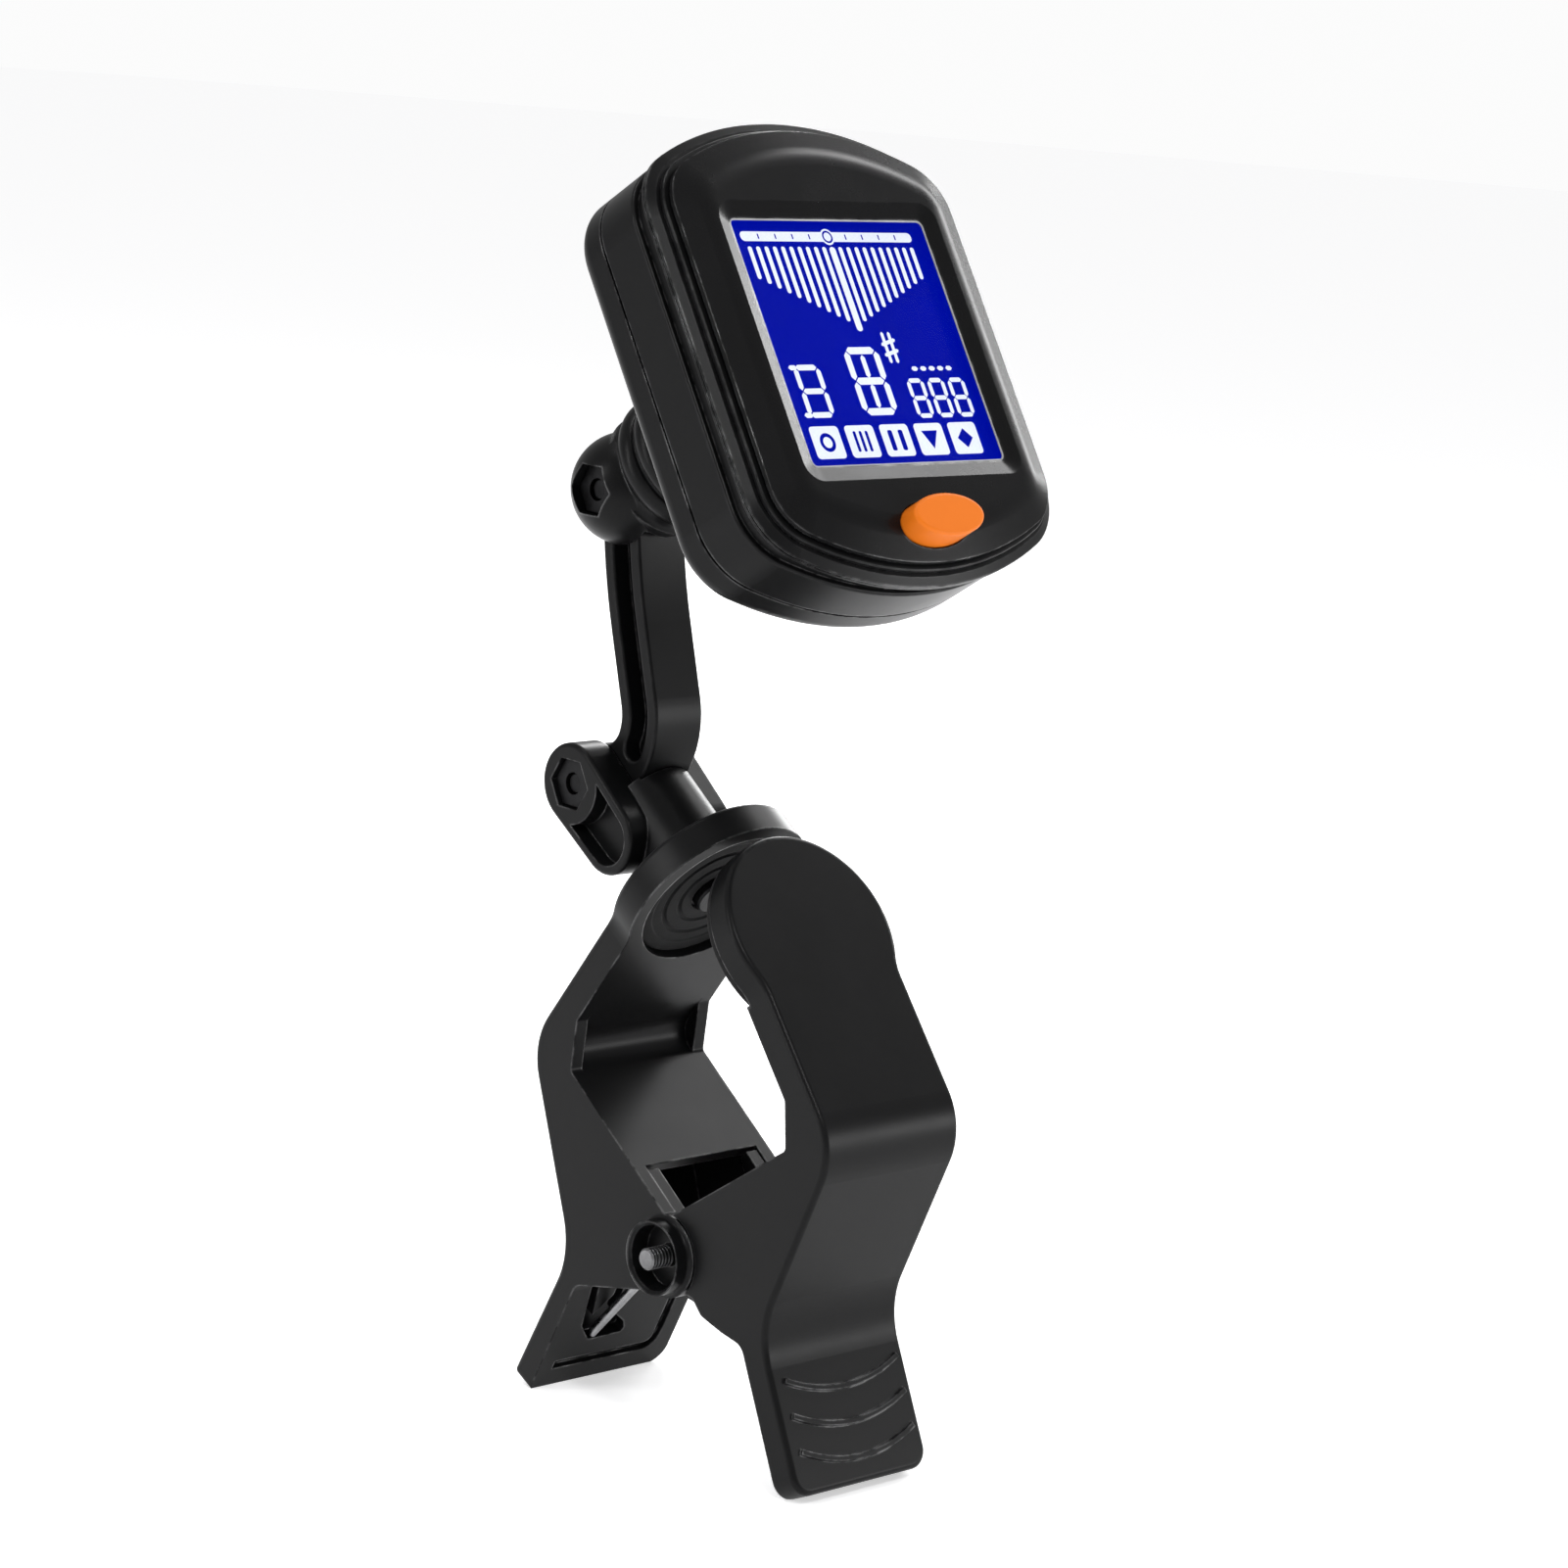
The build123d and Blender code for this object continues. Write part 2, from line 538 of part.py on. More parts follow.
def make_front_housing():
    shell = slab(head_outline(SHELL_STEP), PART_N, STEP_N)
    body = head_rim() + fillet(shell.edges().group_by(Axis.Z)[-1], 0.35)
    body -= slab(head_outline(-1.6), PART_N, BAND_N)
    body -= slab(Pos(0, BUTTON_U) * Ellipse(5.8, 3.0), -2.3, BAND_N + 0.1)
    for x in (-15.4, 15.4):
        for y in (-17.4, 17.4):
            post = slab(Pos(x, y) * Circle(2.1), PART_N, -6.1)
            body += post & slab(head_outline(-1.0), PART_N, -6.1)
            body -= slab(Pos(x, y) * Circle(0.85), PART_N - 1, -6.6)
    return placed_head(body)


def make_rear_housing():
    body = slab(head_outline(SHELL_STEP), BACK_N, PART_N - 0.05)
    body = fillet(body.edges().group_by(Axis.Z)[0], 2.0)
    body -= slab(head_outline(SHELL_STEP - 1.6), BACK_N + 1.6, PART_N)
    body -= slab(head_outline(SHELL_STEP), -10.9, PART_N) - slab(
        head_outline(SHELL_STEP - 0.3), -10.9, PART_N)
    body += Pos(0, SWIVEL_U, BACK_N) * extrude(Circle(10.2), amount=-0.9)
    body += Pos(0, SWIVEL_U, BACK_N + 1.5) * extrude(Circle(8.2), amount=1.1)
    body -= Pos(0, SWIVEL_U, BACK_N - 1) * extrude(Circle(5.05), amount=4)
    for x in (-15.4, 15.4):
        for y in (-17.4, 17.4):
            body += slab(Pos(x, y) * Circle(2.8), BACK_N + 1, PART_N - 0.05)
            body -= slab(Pos(x, y) * Circle(1.1), BACK_N - 1, PART_N)
            body -= slab(Pos(x, y) * Circle(2.1), BACK_N - 1, -13.0)
    body -= slab(Pos(0, DOOR_U) * RectangleRounded(DOOR_W, DOOR_H, 1.5), BACK_N - 1, BACK_N + 0.8)
    body -= slab(Pos(0, DOOR_U) * RectangleRounded(DOOR_W - 2, DOOR_H - 2, 1), BACK_N - 1, -13)
    return placed_head(body)


def make_battery_door():
    body = slab(Pos(0, DOOR_U) * RectangleRounded(DOOR_W - 0.2, DOOR_H - 0.2, 1.4), BACK_N, BACK_N + 0.75)
    body += slab(Pos(0, DOOR_U) * RectangleRounded(DOOR_W - 2.3, DOOR_H - 2.3, 0.9), BACK_N, BACK_N + 1.6)
    for i in range(4):
        groove = Pos(0, DOOR_U - 2.4 + 1.6 * i) * Rectangle(10, 0.6)
        body -= slab(groove, BACK_N, BACK_N + 0.3)
    return placed_head(body)


# ---------------------------------------------------------------- head contents
def make_display_lens():
    return placed_head(slab(RectangleRounded(30.2, 30.2, 0.6), -1.0, -0.02))


def make_lcd_panel():
    glass = slab(Rectangle(30.0, 30.0), -2.6, -1.04)
    return placed_head(glass)


def make_backlight():
    block = slab(Rectangle(30.0, 30.0), -4.3, -2.65)
    tab = slab(Pos(0, 16.2) * Rectangle(8, 2.8), -4.3, -3.4)
    return placed_head(block + tab)


def make_main_pcb():
    board = slab(head_outline(-2.1), -5.8, -4.7)
    for x in (-15.4, 15.4):
        for y in (-17.4, 17.4):
            board -= slab(Pos(x, y) * Circle(1.0), -6, -4)
    return placed_head(board)


def make_button():
    stem = slab(Pos(0, BUTTON_U) * Ellipse(BUTTON_W / 2, BUTTON_H / 2), -0.65, 3.0)
    stem = fillet(stem.edges().group_by(Axis.Z)[-1], 0.35)
    flange = slab(Pos(0, BUTTON_U) * Ellipse(5.6, 2.85), -1.3, -0.65)
    pusher = slab(Pos(0, BUTTON_U) * Circle(1.2), -1.9, -1.3)
    return placed_head(stem + flange + pusher)


def make_tact_switch():
    base = slab(Pos(0, BUTTON_U) * Rectangle(5.0, 3.6), -4.65, -3.3)
    plunger = slab(Pos(0, BUTTON_U) * Circle(1.1), -3.3, -2.75)
    return placed_head(base + plunger)


def make_coin_cell():
    cell = slab(Pos(0, -2.0) * Circle(10.0), -9.7, -6.7)
    cell = fillet(cell.edges(), 0.4)
    cap = slab(Pos(0, -2.0) * Circle(8.6), -9.9, -9.65)
    return placed_head(cell + cap)


def make_battery_contacts():
    """Spring strips under and beside the coin cell."""
    top = slab(Pos(0, -2.0) * Rectangle(5.0, 14.0), -6.6, -6.3)
    foot = slab(Pos(0, 4.0) * Rectangle(3.0, 1.6), -6.4, -5.85)
    side = slab(Pos(11.0, -2.0) * Rectangle(0.3, 6.0), -9.4, -5.85)
    return placed_head((top + foot) + side)


def make_piezo_disc():
    disc = slab(Pos(-8.5, 15.0) * Circle(4.2), -13.3, -13.0)
    chip = slab(Pos(-8.5, 15.0) * Circle(2.9), -13.0, -12.8)
    return placed_head(disc + chip)


def make_case_screws():
    screws = []
    for x in (-15.4, 15.4):
        for y in (-17.4, 17.4):
            shank = slab(Pos(x, y) * Circle(0.8), -13.0, -7.0)
            head = slab(Pos(x, y) * Circle(1.8), -14.1, -13.0)
            slot = slab(Pos(x, y) * (Rectangle(2.2, 0.5) + Rectangle(0.5, 2.2)), -14.1, -13.5)
            screws.append(placed_head(shank + head - slot))
    return Compound(children=screws)


# ---------------------------------------------------------------- export
PARTS = {
    "rear_jaw": make_rear_jaw,
    "front_jaw": make_front_jaw,
    "front_pad": make_front_pad,
    "rear_pad_ring": make_rear_pad,
    "jaw_screw": make_jaw_screw,
    "jaw_spacer": make_spacer,
    "torsion_spring": make_torsion_spring,
    "spring_front_leg": make_spring_front_leg,
    "clip_clevis": make_clip_clevis,
    "clip_swivel_washer": make_clip_swivel_washer,
    "clip_swivel_screw": make_clip_swivel_screw,
    "arm": make_arm,
    "head_yoke": make_head_yoke,
    "head_swivel_washer": make_head_swivel_washer,
    "head_swivel_screw": make_head_swivel_screw,
    "bezel": make_bezel,
    "front_housing": make_front_housing,
    "rear_housing": make_rear_housing,
    "battery_door": make_battery_door,
    "display_lens": make_display_lens,
    "lcd_panel": make_lcd_panel,
    "backlight": make_backlight,
    "main_pcb": make_main_pcb,
    "button": make_button,
    "tact_switch": make_tact_switch,
    "coin_cell": make_coin_cell,
    "battery_contacts": make_battery_contacts,
    "piezo_disc": make_piezo_disc,
    "case_screws": make_case_screws,
}

for node, make in PARTS.items():
    export_step(make(), f"parts/{node}.step")

for name, hinge, half in (("lower", LOWER_HINGE, CLEVIS_X), ("upper", UPPER_HINGE, 7.3)):
    export_step(hinge_screw(*hinge, half), f"parts/{name}_hinge_screw.step")
    export_step(hinge_nut(*hinge, half), f"parts/{name}_hinge_nut.step")
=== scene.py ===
"""Looks for the clip-on tuner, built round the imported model. Metres, row frame."""
import json
import math

import bpy
import bmesh
from mathutils import Matrix, Vector


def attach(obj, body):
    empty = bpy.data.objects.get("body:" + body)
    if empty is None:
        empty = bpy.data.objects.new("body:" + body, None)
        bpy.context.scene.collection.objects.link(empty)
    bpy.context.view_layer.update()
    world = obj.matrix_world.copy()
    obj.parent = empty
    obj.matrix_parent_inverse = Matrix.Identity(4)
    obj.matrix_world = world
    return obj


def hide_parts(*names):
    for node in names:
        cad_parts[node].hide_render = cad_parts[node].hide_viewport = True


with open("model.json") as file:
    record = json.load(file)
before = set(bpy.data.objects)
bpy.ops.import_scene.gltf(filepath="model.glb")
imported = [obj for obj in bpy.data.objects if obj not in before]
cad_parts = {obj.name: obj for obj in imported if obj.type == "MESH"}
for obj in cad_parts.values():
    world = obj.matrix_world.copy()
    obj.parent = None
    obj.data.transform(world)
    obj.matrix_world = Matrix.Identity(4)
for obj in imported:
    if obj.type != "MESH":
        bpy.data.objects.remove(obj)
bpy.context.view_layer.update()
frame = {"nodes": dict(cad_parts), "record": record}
NODES = frame["nodes"]
MM = 0.001

# Driving values, in millimetres unless a line says otherwise.
HEAD_DEGREES = 33.3                     # the head leans back from the vertical
PIVOT_AT = (0, -2.15, 21.18)            # jaw pivot in the row frame
WINDOW_AT = (0, -9.62, 99.18)           # display window's centre, from the pivot
BULGE = (24.2, 17.9)                    # widest point of each jaw, (y, z) from the pivot
FRONT_TILT, REAR_TILT = 38.9, 34.9      # each jaw's disc from the vertical, degrees
FRONT_REACH, REAR_REACH = 24.6, 25.9    # along the jaw, from its widest point to the disc's centre
FRONT_FACE, REAR_FACE = -4.22, -2.85    # ringed faces of the pads, from the disc's outer face
WINDOW_W, WINDOW_H = 27.7, 27.8
WINDOW_CORNER = 0.78
LINE_W = 0.17                           # painted highlight line round the display
SEG_LOW, SEG_HIGH = -1.035, -1.012      # between the panel's face and the lens
INK_HIGH = -1.006
DIAL_RING = (0.35, 12.4)                # ring on the scale strip, (x, u) in the window
BARS, BARS_LEFT, BARS_RIGHT = 21, -11.15, 12.1
BAR_TOP, BAR_FOOT, OUTER_FOOT = 11.25, 2.2, 7.55
MODES, MODE_LEFT, MODE_STEP = 5, -11.6, 4.95
EDGE_SHINE = 0.9                        # extra gloss where handling has polished an edge
EDGE_RADIUS = 0.0004                    # reach of the polish and of the painted edge highlight from an edge, metres
GRAIN_SIZE, CELL_SIZE = 0.00022, 0.00035    # plastic's grain and display's cells, metres
SCRATCH_SCALE = (900, 60, 60)           # stretches the scratches in metal along one axis
FLOOR_HALF, DOME_RADIUS = 40.0, 3.0     # metres
DOME_LEVEL, FLOOR_GLOW, WORLD_LEVEL = 0.97, 0.50, 0.52
SENSOR = 36.0                           # camera sensor's width
FOCAL_PIXELS, IMAGE_PIXELS = 4450.0, 1601.0

# The head's own axes: x right, u up the display, n out of it.
HEAD_TILT = math.radians(HEAD_DEGREES)
N_AXIS = Vector((0, -math.cos(HEAD_TILT), math.sin(HEAD_TILT)))
U_AXIS = Vector((0, math.sin(HEAD_TILT), math.cos(HEAD_TILT)))
PIVOT = Vector(PIVOT_AT) * MM
HEAD_O = PIVOT + Vector(WINDOW_AT) * MM


def head_point(x, u, n):
    """A point given in head millimetres, in the row frame."""
    return HEAD_O + (Vector((1, 0, 0)) * x + U_AXIS * u + N_AXIS * n) * MM


# ---------------------------------------------------------------- node helpers
def new_material(name):
    """A material with its node tree and its main shader."""
    mat = bpy.data.materials.new(name)
    mat.use_nodes = True
    tree = mat.node_tree
    return mat, tree, tree.nodes["Principled BSDF"]


def add(tree, kind, **values):
    """A node with its inputs and properties set by name."""
    node = tree.nodes.new(kind)
    for key, value in values.items():
        if key in node.inputs:
            node.inputs[key].default_value = value
        else:
            setattr(node, key, value)
    return node


def noise(tree, coords, scale, detail=3.0, rough=0.5):
    node = add(tree, "ShaderNodeTexNoise", Scale=scale, Detail=detail, Roughness=rough)
    tree.links.new(coords, node.inputs["Vector"])
    return node.outputs["Fac"]


def remap(tree, value, lo, hi, from_lo=0.0, from_hi=1.0):
    node = tree.nodes.new("ShaderNodeMapRange")
    node.inputs["From Min"].default_value = from_lo
    node.inputs["From Max"].default_value = from_hi
    node.inputs["To Min"].default_value = lo
    node.inputs["To Max"].default_value = hi
    tree.links.new(value, node.inputs["Value"])
    return node.outputs["Result"]


def math_node(tree, operation, a, b):
    node = add(tree, "ShaderNodeMath", operation=operation)
    for socket, value in zip(node.inputs, (a, b)):
        if isinstance(value, (int, float)):
            socket.default_value = value
        else:
            tree.links.new(value, socket)
    return node.outputs[0]


def mix_color(tree, factor, a, b):
    node = tree.nodes.new("ShaderNodeMix")
    node.data_type = "RGBA"
    tree.links.new(factor, node.inputs["Factor"])
    node.inputs["A"].default_value = (*a, 1)
    node.inputs["B"].default_value = (*b, 1)
    return node.outputs["Result"]


def edge_mask(tree, radius):
    """1 on sharp edges and 0 on open faces, from a rounded normal against the true one."""
    bevel = add(tree, "ShaderNodeBevel", samples=6, Radius=radius)
    geometry = tree.nodes.new("ShaderNodeNewGeometry")
    dot = add(tree, "ShaderNodeVectorMath", operation="DOT_PRODUCT")
    tree.links.new(bevel.outputs["Normal"], dot.inputs[0])
    tree.links.new(geometry.outputs["Normal"], dot.inputs[1])
    return remap(tree, dot.outputs["Value"], 1.0, 0.0, 0.80, 0.995)


def surface(tree, bsdf, height, strength, distance, edge_radius=0.00018):
    """Fine relief from a height, laid over edges softened by a small radius."""
    bump = add(tree, "ShaderNodeBump", Strength=strength, Distance=distance)
    tree.links.new(height, bump.inputs["Height"])
    if edge_radius:
        bevel = add(tree, "ShaderNodeBevel", samples=6, Radius=edge_radius)
        tree.links.new(bevel.outputs["Normal"], bump.inputs["Normal"])
    tree.links.new(bump.outputs["Normal"], bsdf.inputs["Normal"])


def moulded_plastic(name, color, edge_wear_and_highlight_color, rough, grain=0.10, coat=0.0, edge=0.00018, edge_wear_and_highlight_amount=0.35,
                    gloss=0.11):
    """Injection-moulded plastic: spark-eroded grain, handled sheen, polished edges whose colour is
    lightened, partly as wear and partly as a painted highlight.
    """
    mat, tree, bsdf = new_material(name)
    coords = tree.nodes.new("ShaderNodeTexCoord").outputs["Object"]
    grain_noise = noise(tree, coords, 1 / GRAIN_SIZE, 2.0, 0.6)
    cloud = noise(tree, coords, 90.0, 4.0, 0.6)
    smear = noise(tree, coords, 320.0, 3.0, 0.7)
    edges = edge_mask(tree, EDGE_RADIUS)
    patchy_edges = math_node(tree, "MULTIPLY", edges, remap(tree, smear, 0.0, 1.0, 0.42, 0.62))
    factor = math_node(tree, "MULTIPLY", patchy_edges, edge_wear_and_highlight_amount)
    # edges mixed towards a lighter colour: partly wear, partly a painted highlight along the edges
    tint = mix_color(tree, factor, color, edge_wear_and_highlight_color)
    shade = add(tree, "ShaderNodeHueSaturation", Saturation=1.0)
    tree.links.new(tint, shade.inputs["Color"])
    tree.links.new(remap(tree, cloud, 0.94, 1.06), shade.inputs["Value"])
    tree.links.new(shade.outputs["Color"], bsdf.inputs["Base Color"])
    base = remap(tree, cloud, rough - 0.015, rough + 0.02, 0.3, 0.7)
    handled = math_node(tree, "ADD", base, remap(tree, smear, -0.01, 0.01, 0.3, 0.7))
    polished = math_node(tree, "SUBTRACT", handled, math_node(tree, "MULTIPLY", factor, 0.12))
    tree.links.new(polished, bsdf.inputs["Roughness"])
    bsdf.inputs["IOR"].default_value = 1.5
    shine = math_node(tree, "ADD", math_node(tree, "MULTIPLY", patchy_edges, EDGE_SHINE), gloss)
    tree.links.new(shine, bsdf.inputs["Specular IOR Level"])
    bsdf.inputs["Coat Weight"].default_value = coat
    bsdf.inputs["Coat Roughness"].default_value = 0.12
    surface(tree, bsdf, grain_noise, grain, 0.00003, edge)
    return mat


def metal(name, color, rough):
    """Machined or drawn metal: fine directional scratches, plating blotches, dulled spots."""
    mat, tree, bsdf = new_material(name)
    coords = tree.nodes.new("ShaderNodeTexCoord").outputs["Object"]
    mapping = tree.nodes.new("ShaderNodeMapping")
    mapping.inputs["Scale"].default_value = SCRATCH_SCALE
    tree.links.new(coords, mapping.inputs["Vector"])
    lines = noise(tree, mapping.outputs["Vector"], 12.0, 4.0, 0.7)
    blotch = noise(tree, coords, 500.0, 3.0, 0.6)
    darker = tuple(c * 0.62 for c in color)
    tree.links.new(mix_color(tree, remap(tree, blotch, 0, 1, 0.35, 0.7), darker, color),
                   bsdf.inputs["Base Color"])
    bsdf.inputs["Metallic"].default_value = 1.0
    spread = math_node(tree, "ADD", remap(tree, lines, rough - 0.08, rough + 0.10, 0.3, 0.7),
                       remap(tree, blotch, -0.04, 0.06, 0.3, 0.7))
    tree.links.new(spread, bsdf.inputs["Roughness"])
    surface(tree, bsdf, lines, 0.12, 0.00001, 0.00008)
    return mat


def rubber(name, color):
    """Matte rubber: dusty, finely pored, with a soft sheen at grazing angles."""
    mat, tree, bsdf = new_material(name)
    coords = tree.nodes.new("ShaderNodeTexCoord").outputs["Object"]
    pores = add(tree, "ShaderNodeTexVoronoi", Scale=3800.0)
    tree.links.new(coords, pores.inputs["Vector"])
    dust = noise(tree, coords, 260.0, 4.0, 0.65)
    lighter = tuple(c * 2.2 + 0.004 for c in color)
    tree.links.new(mix_color(tree, remap(tree, dust, 0.0, 0.7, 0.45, 0.75), color, lighter),
                   bsdf.inputs["Base Color"])
    tree.links.new(remap(tree, dust, 0.62, 0.82), bsdf.inputs["Roughness"])
    bsdf.inputs["Specular IOR Level"].default_value = 0.12
    bsdf.inputs["Sheen Weight"].default_value = 0.05
    bsdf.inputs["Sheen Roughness"].default_value = 0.5
    surface(tree, bsdf, pores.outputs["Distance"], 0.25, 0.00003, 0.00015)
    return mat


def lit_panel(name, color):
    """Back-lit liquid crystal: slightly uneven light through a faint cell grid."""
    mat, tree, bsdf = new_material(name)
    coords = tree.nodes.new("ShaderNodeTexCoord").outputs["Object"]
    glow = noise(tree, coords, 45.0, 2.0, 0.4)
    grid = add(tree, "ShaderNodeTexChecker", Scale=1 / CELL_SIZE)
    tree.links.new(coords, grid.inputs["Vector"])
    cloudy = remap(tree, glow, 0.93, 1.07, 0.3, 0.7)
    level = math_node(tree, "MULTIPLY", cloudy, remap(tree, grid.outputs["Fac"], 0.985, 1.015))
    bsdf.inputs["Base Color"].default_value = (*(c * 0.15 for c in color), 1)
    bsdf.inputs["Specular IOR Level"].default_value = 0.02
    bsdf.inputs["Emission Color"].default_value = (*color, 1)
    tree.links.new(level, bsdf.inputs["Emission Strength"])
    tree.links.new(remap(tree, glow, 0.22, 0.3), bsdf.inputs["Roughness"])
    return mat


def clear_lens(name):
    """Clear moulded window with a trace of haze and waviness."""
    mat, tree, bsdf = new_material(name)
    coords = tree.nodes.new("ShaderNodeTexCoord").outputs["Object"]
    haze = noise(tree, coords, 120.0, 4.0, 0.6)
    bsdf.inputs["Base Color"].default_value = (0.97, 0.98, 1.0, 1)
    bsdf.inputs["Transmission Weight"].default_value = 1.0
    bsdf.inputs["IOR"].default_value = 1.06
    tree.links.new(remap(tree, haze, 0.0, 0.05, 0.35, 0.75), bsdf.inputs["Roughness"])
    wave = noise(tree, coords, 60.0, 1.0, 0.3)
    surface(tree, bsdf, wave, 0.03, 0.00002, 0)
    return mat


def circuit_board(name):
    """Solder mask over copper: pads and tracks as a cell pattern."""
    mat, tree, bsdf = new_material(name)
    coords = tree.nodes.new("ShaderNodeTexCoord").outputs["Object"]
    cells = add(tree, "ShaderNodeTexVoronoi", Scale=420.0, distance="MANHATTAN", feature="F1")
    tree.links.new(coords, cells.inputs["Vector"])
    track = remap(tree, cells.outputs["Distance"], 0.0, 1.0, 0.28, 0.34)
    tree.links.new(mix_color(tree, track, (0.03, 0.24, 0.10), (0.012, 0.12, 0.05)),
                   bsdf.inputs["Base Color"])
    tree.links.new(remap(tree, track, 0.28, 0.4), bsdf.inputs["Roughness"])
    surface(tree, bsdf, track, 0.2, 0.00003, 0)
    return mat


BLACK = (0.0042, 0.0042, 0.0045)
DEEP_BLACK = (0.0036, 0.0036, 0.0039)
# lighter edge colours: partly wear, partly a painted highlight along the edges
EDGE_WEAR_AND_HIGHLIGHT = (0.055, 0.055, 0.058)
ORANGE, ORANGE_EDGE_WEAR_AND_HIGHLIGHT = (0.66, 0.150, 0.008), (0.78, 0.25, 0.04)
FINISHES = {
    "black_abs": moulded_plastic("black_abs", BLACK, EDGE_WEAR_AND_HIGHLIGHT, 0.34, grain=0.10),
    "satin_black": moulded_plastic("satin_black", BLACK, EDGE_WEAR_AND_HIGHLIGHT, 0.33, grain=0.08, edge=0.00012),
    "gloss_black": moulded_plastic("gloss_black", DEEP_BLACK, EDGE_WEAR_AND_HIGHLIGHT, 0.26, grain=0.04, coat=0.05,
                                   edge=0.00012),
    "pad_rubber": rubber("pad_rubber", (0.0045, 0.0045, 0.0048)),
    "clear_lens": clear_lens("clear_lens"),
    "lcd_glass": lit_panel("lcd_glass", (0.0, 0.0035, 0.31)),
    "light_guide": moulded_plastic("light_guide", (0.7, 0.73, 0.78), (0.8, 0.8, 0.8), 0.4),
    "circuit_board": circuit_board("circuit_board"),
    "orange_button": moulded_plastic("orange_button", ORANGE, ORANGE_EDGE_WEAR_AND_HIGHLIGHT, 0.42, grain=0.12,
                                     edge=0.0002, edge_wear_and_highlight_amount=0.25, gloss=0.12),
    "switch_black": moulded_plastic("switch_black", (0.02, 0.02, 0.02), EDGE_WEAR_AND_HIGHLIGHT, 0.45),
    "cell_steel": metal("cell_steel", (0.62, 0.62, 0.60), 0.26),
    "nickel_strip": metal("nickel_strip", (0.66, 0.64, 0.58), 0.30),
    "piezo_brass": metal("piezo_brass", (0.72, 0.52, 0.22), 0.34),
    "black_steel": metal("black_steel", (0.022, 0.022, 0.023), 0.40),
    "spring_steel": metal("spring_steel", (0.36, 0.36, 0.37), 0.28),
    "plated_steel": metal("plated_steel", (0.20, 0.20, 0.205), 0.32),
    "sleeve_plastic": moulded_plastic("sleeve_plastic", (0.03, 0.03, 0.03), EDGE_WEAR_AND_HIGHLIGHT, 0.45),
}

SLOTS = {row["node"]: row["material_slot"] for row in frame["record"]["subparts"]}

for node, obj in NODES.items():
    obj.data.materials.clear()
    obj.data.materials.append(FINISHES[SLOTS[node]])


# ---------------------------------------------------------------- mesh helpers
def make_object(name, bm, finish, body):
    """A finished piece from mesh data, riding on a CAD body."""
    mesh = bpy.data.meshes.new(name)
    bmesh.ops.recalc_face_normals(bm, faces=bm.faces)
    bm.to_mesh(mesh)
    bm.free()
    obj = bpy.data.objects.new(name, mesh)
    bpy.context.scene.collection.objects.link(obj)
    mesh.materials.append(finish)
    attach(obj, body)
    return obj


def prism(bm, outline, n0, n1):
    """Closed prism with an (x, u) outline between two depths in the head."""
    low = [bm.verts.new(head_point(x, u, n0)) for x, u in outline]
    high = [bm.verts.new(head_point(x, u, n1)) for x, u in outline]
    bm.faces.new(list(reversed(low)))
    bm.faces.new(high)
    count = len(outline)
    for i in range(count):
        j = (i + 1) % count
        bm.faces.new((low[i], low[j], high[j], high[i]))


def hollow_prism(bm, outer, inner, n0, n1):
    """Closed frame between two outlines of equal count and two depths in the head."""
    rows = [[bm.verts.new(head_point(x, u, n)) for x, u in loop]
            for loop, n in ((outer, n0), (outer, n1), (inner, n1), (inner, n0))]
    count = len(outer)
    for k in range(4):
        for i in range(count):
            j = (i + 1) % count
            bm.faces.new((rows[k][i], rows[k][j], rows[(k + 1) % 4][j], rows[(k + 1) % 4][i]))


def rounded_box(x0, u0, x1, u1, r, steps=5):
    """Corner points of a rounded rectangle, anticlockwise."""
    points = []
    for cx, cu, start in ((x1 - r, u1 - r, 0), (x0 + r, u1 - r, 90), (x0 + r, u0 + r, 180),
                          (x1 - r, u0 + r, 270)):
        for i in range(steps + 1):
            a = math.radians(start + 90 * i / steps)
            points.append((cx + r * math.cos(a), cu + r * math.sin(a)))
    return points


def circle(x, u, r, steps=28):
    """Corner points of a circle, anticlockwise."""
    return [(x + r * math.cos(2 * math.pi * i / steps), u + r * math.sin(2 * math.pi * i / steps))
            for i in range(steps)]


def turned(bm, origin, axis, profile, steps=112):
    """Closed body of revolution: a loop of (radius, height) millimetres round an axis."""
    axis = Vector(axis).normalized()
    side = Vector((1, 0, 0))
    across = axis.cross(side)
    loops = []
    for i in range(steps):
        a = 2 * math.pi * i / steps
        spoke = side * math.cos(a) + across * math.sin(a)
        loops.append([bm.verts.new(origin + (spoke * r + axis * h) * MM) for r, h in profile])
    count = len(profile)
    for i in range(steps):
        here, after = loops[i], loops[(i + 1) % steps]
        for k in range(count):
            m = (k + 1) % count
            bm.faces.new((here[k], here[m], after[m], after[k]))


# ---------------------------------------------------------------- rubber pads
def disc_frame(side, tilt, reach):
    """Centre and outward axis of a jaw's disc, from the widest point of the jaw below it."""
    a = math.radians(tilt)
    y = side * (BULGE[0] - reach * math.sin(a))
    centre = Vector((0, y, BULGE[1] + reach * math.cos(a)))
    return PIVOT + centre * MM, Vector((0, side * math.cos(a), math.sin(a)))


def grooves(radii, face, depth, width):
    """Outward run of a pad's face with rounded grooves at the given radii."""
    section = ((-0.5, 0.0), (-0.32, 0.75), (0.0, 1.0), (0.32, 0.75), (0.5, 0.0))
    return [(r + k * width, face + d * depth) for r in radii for k, d in section]


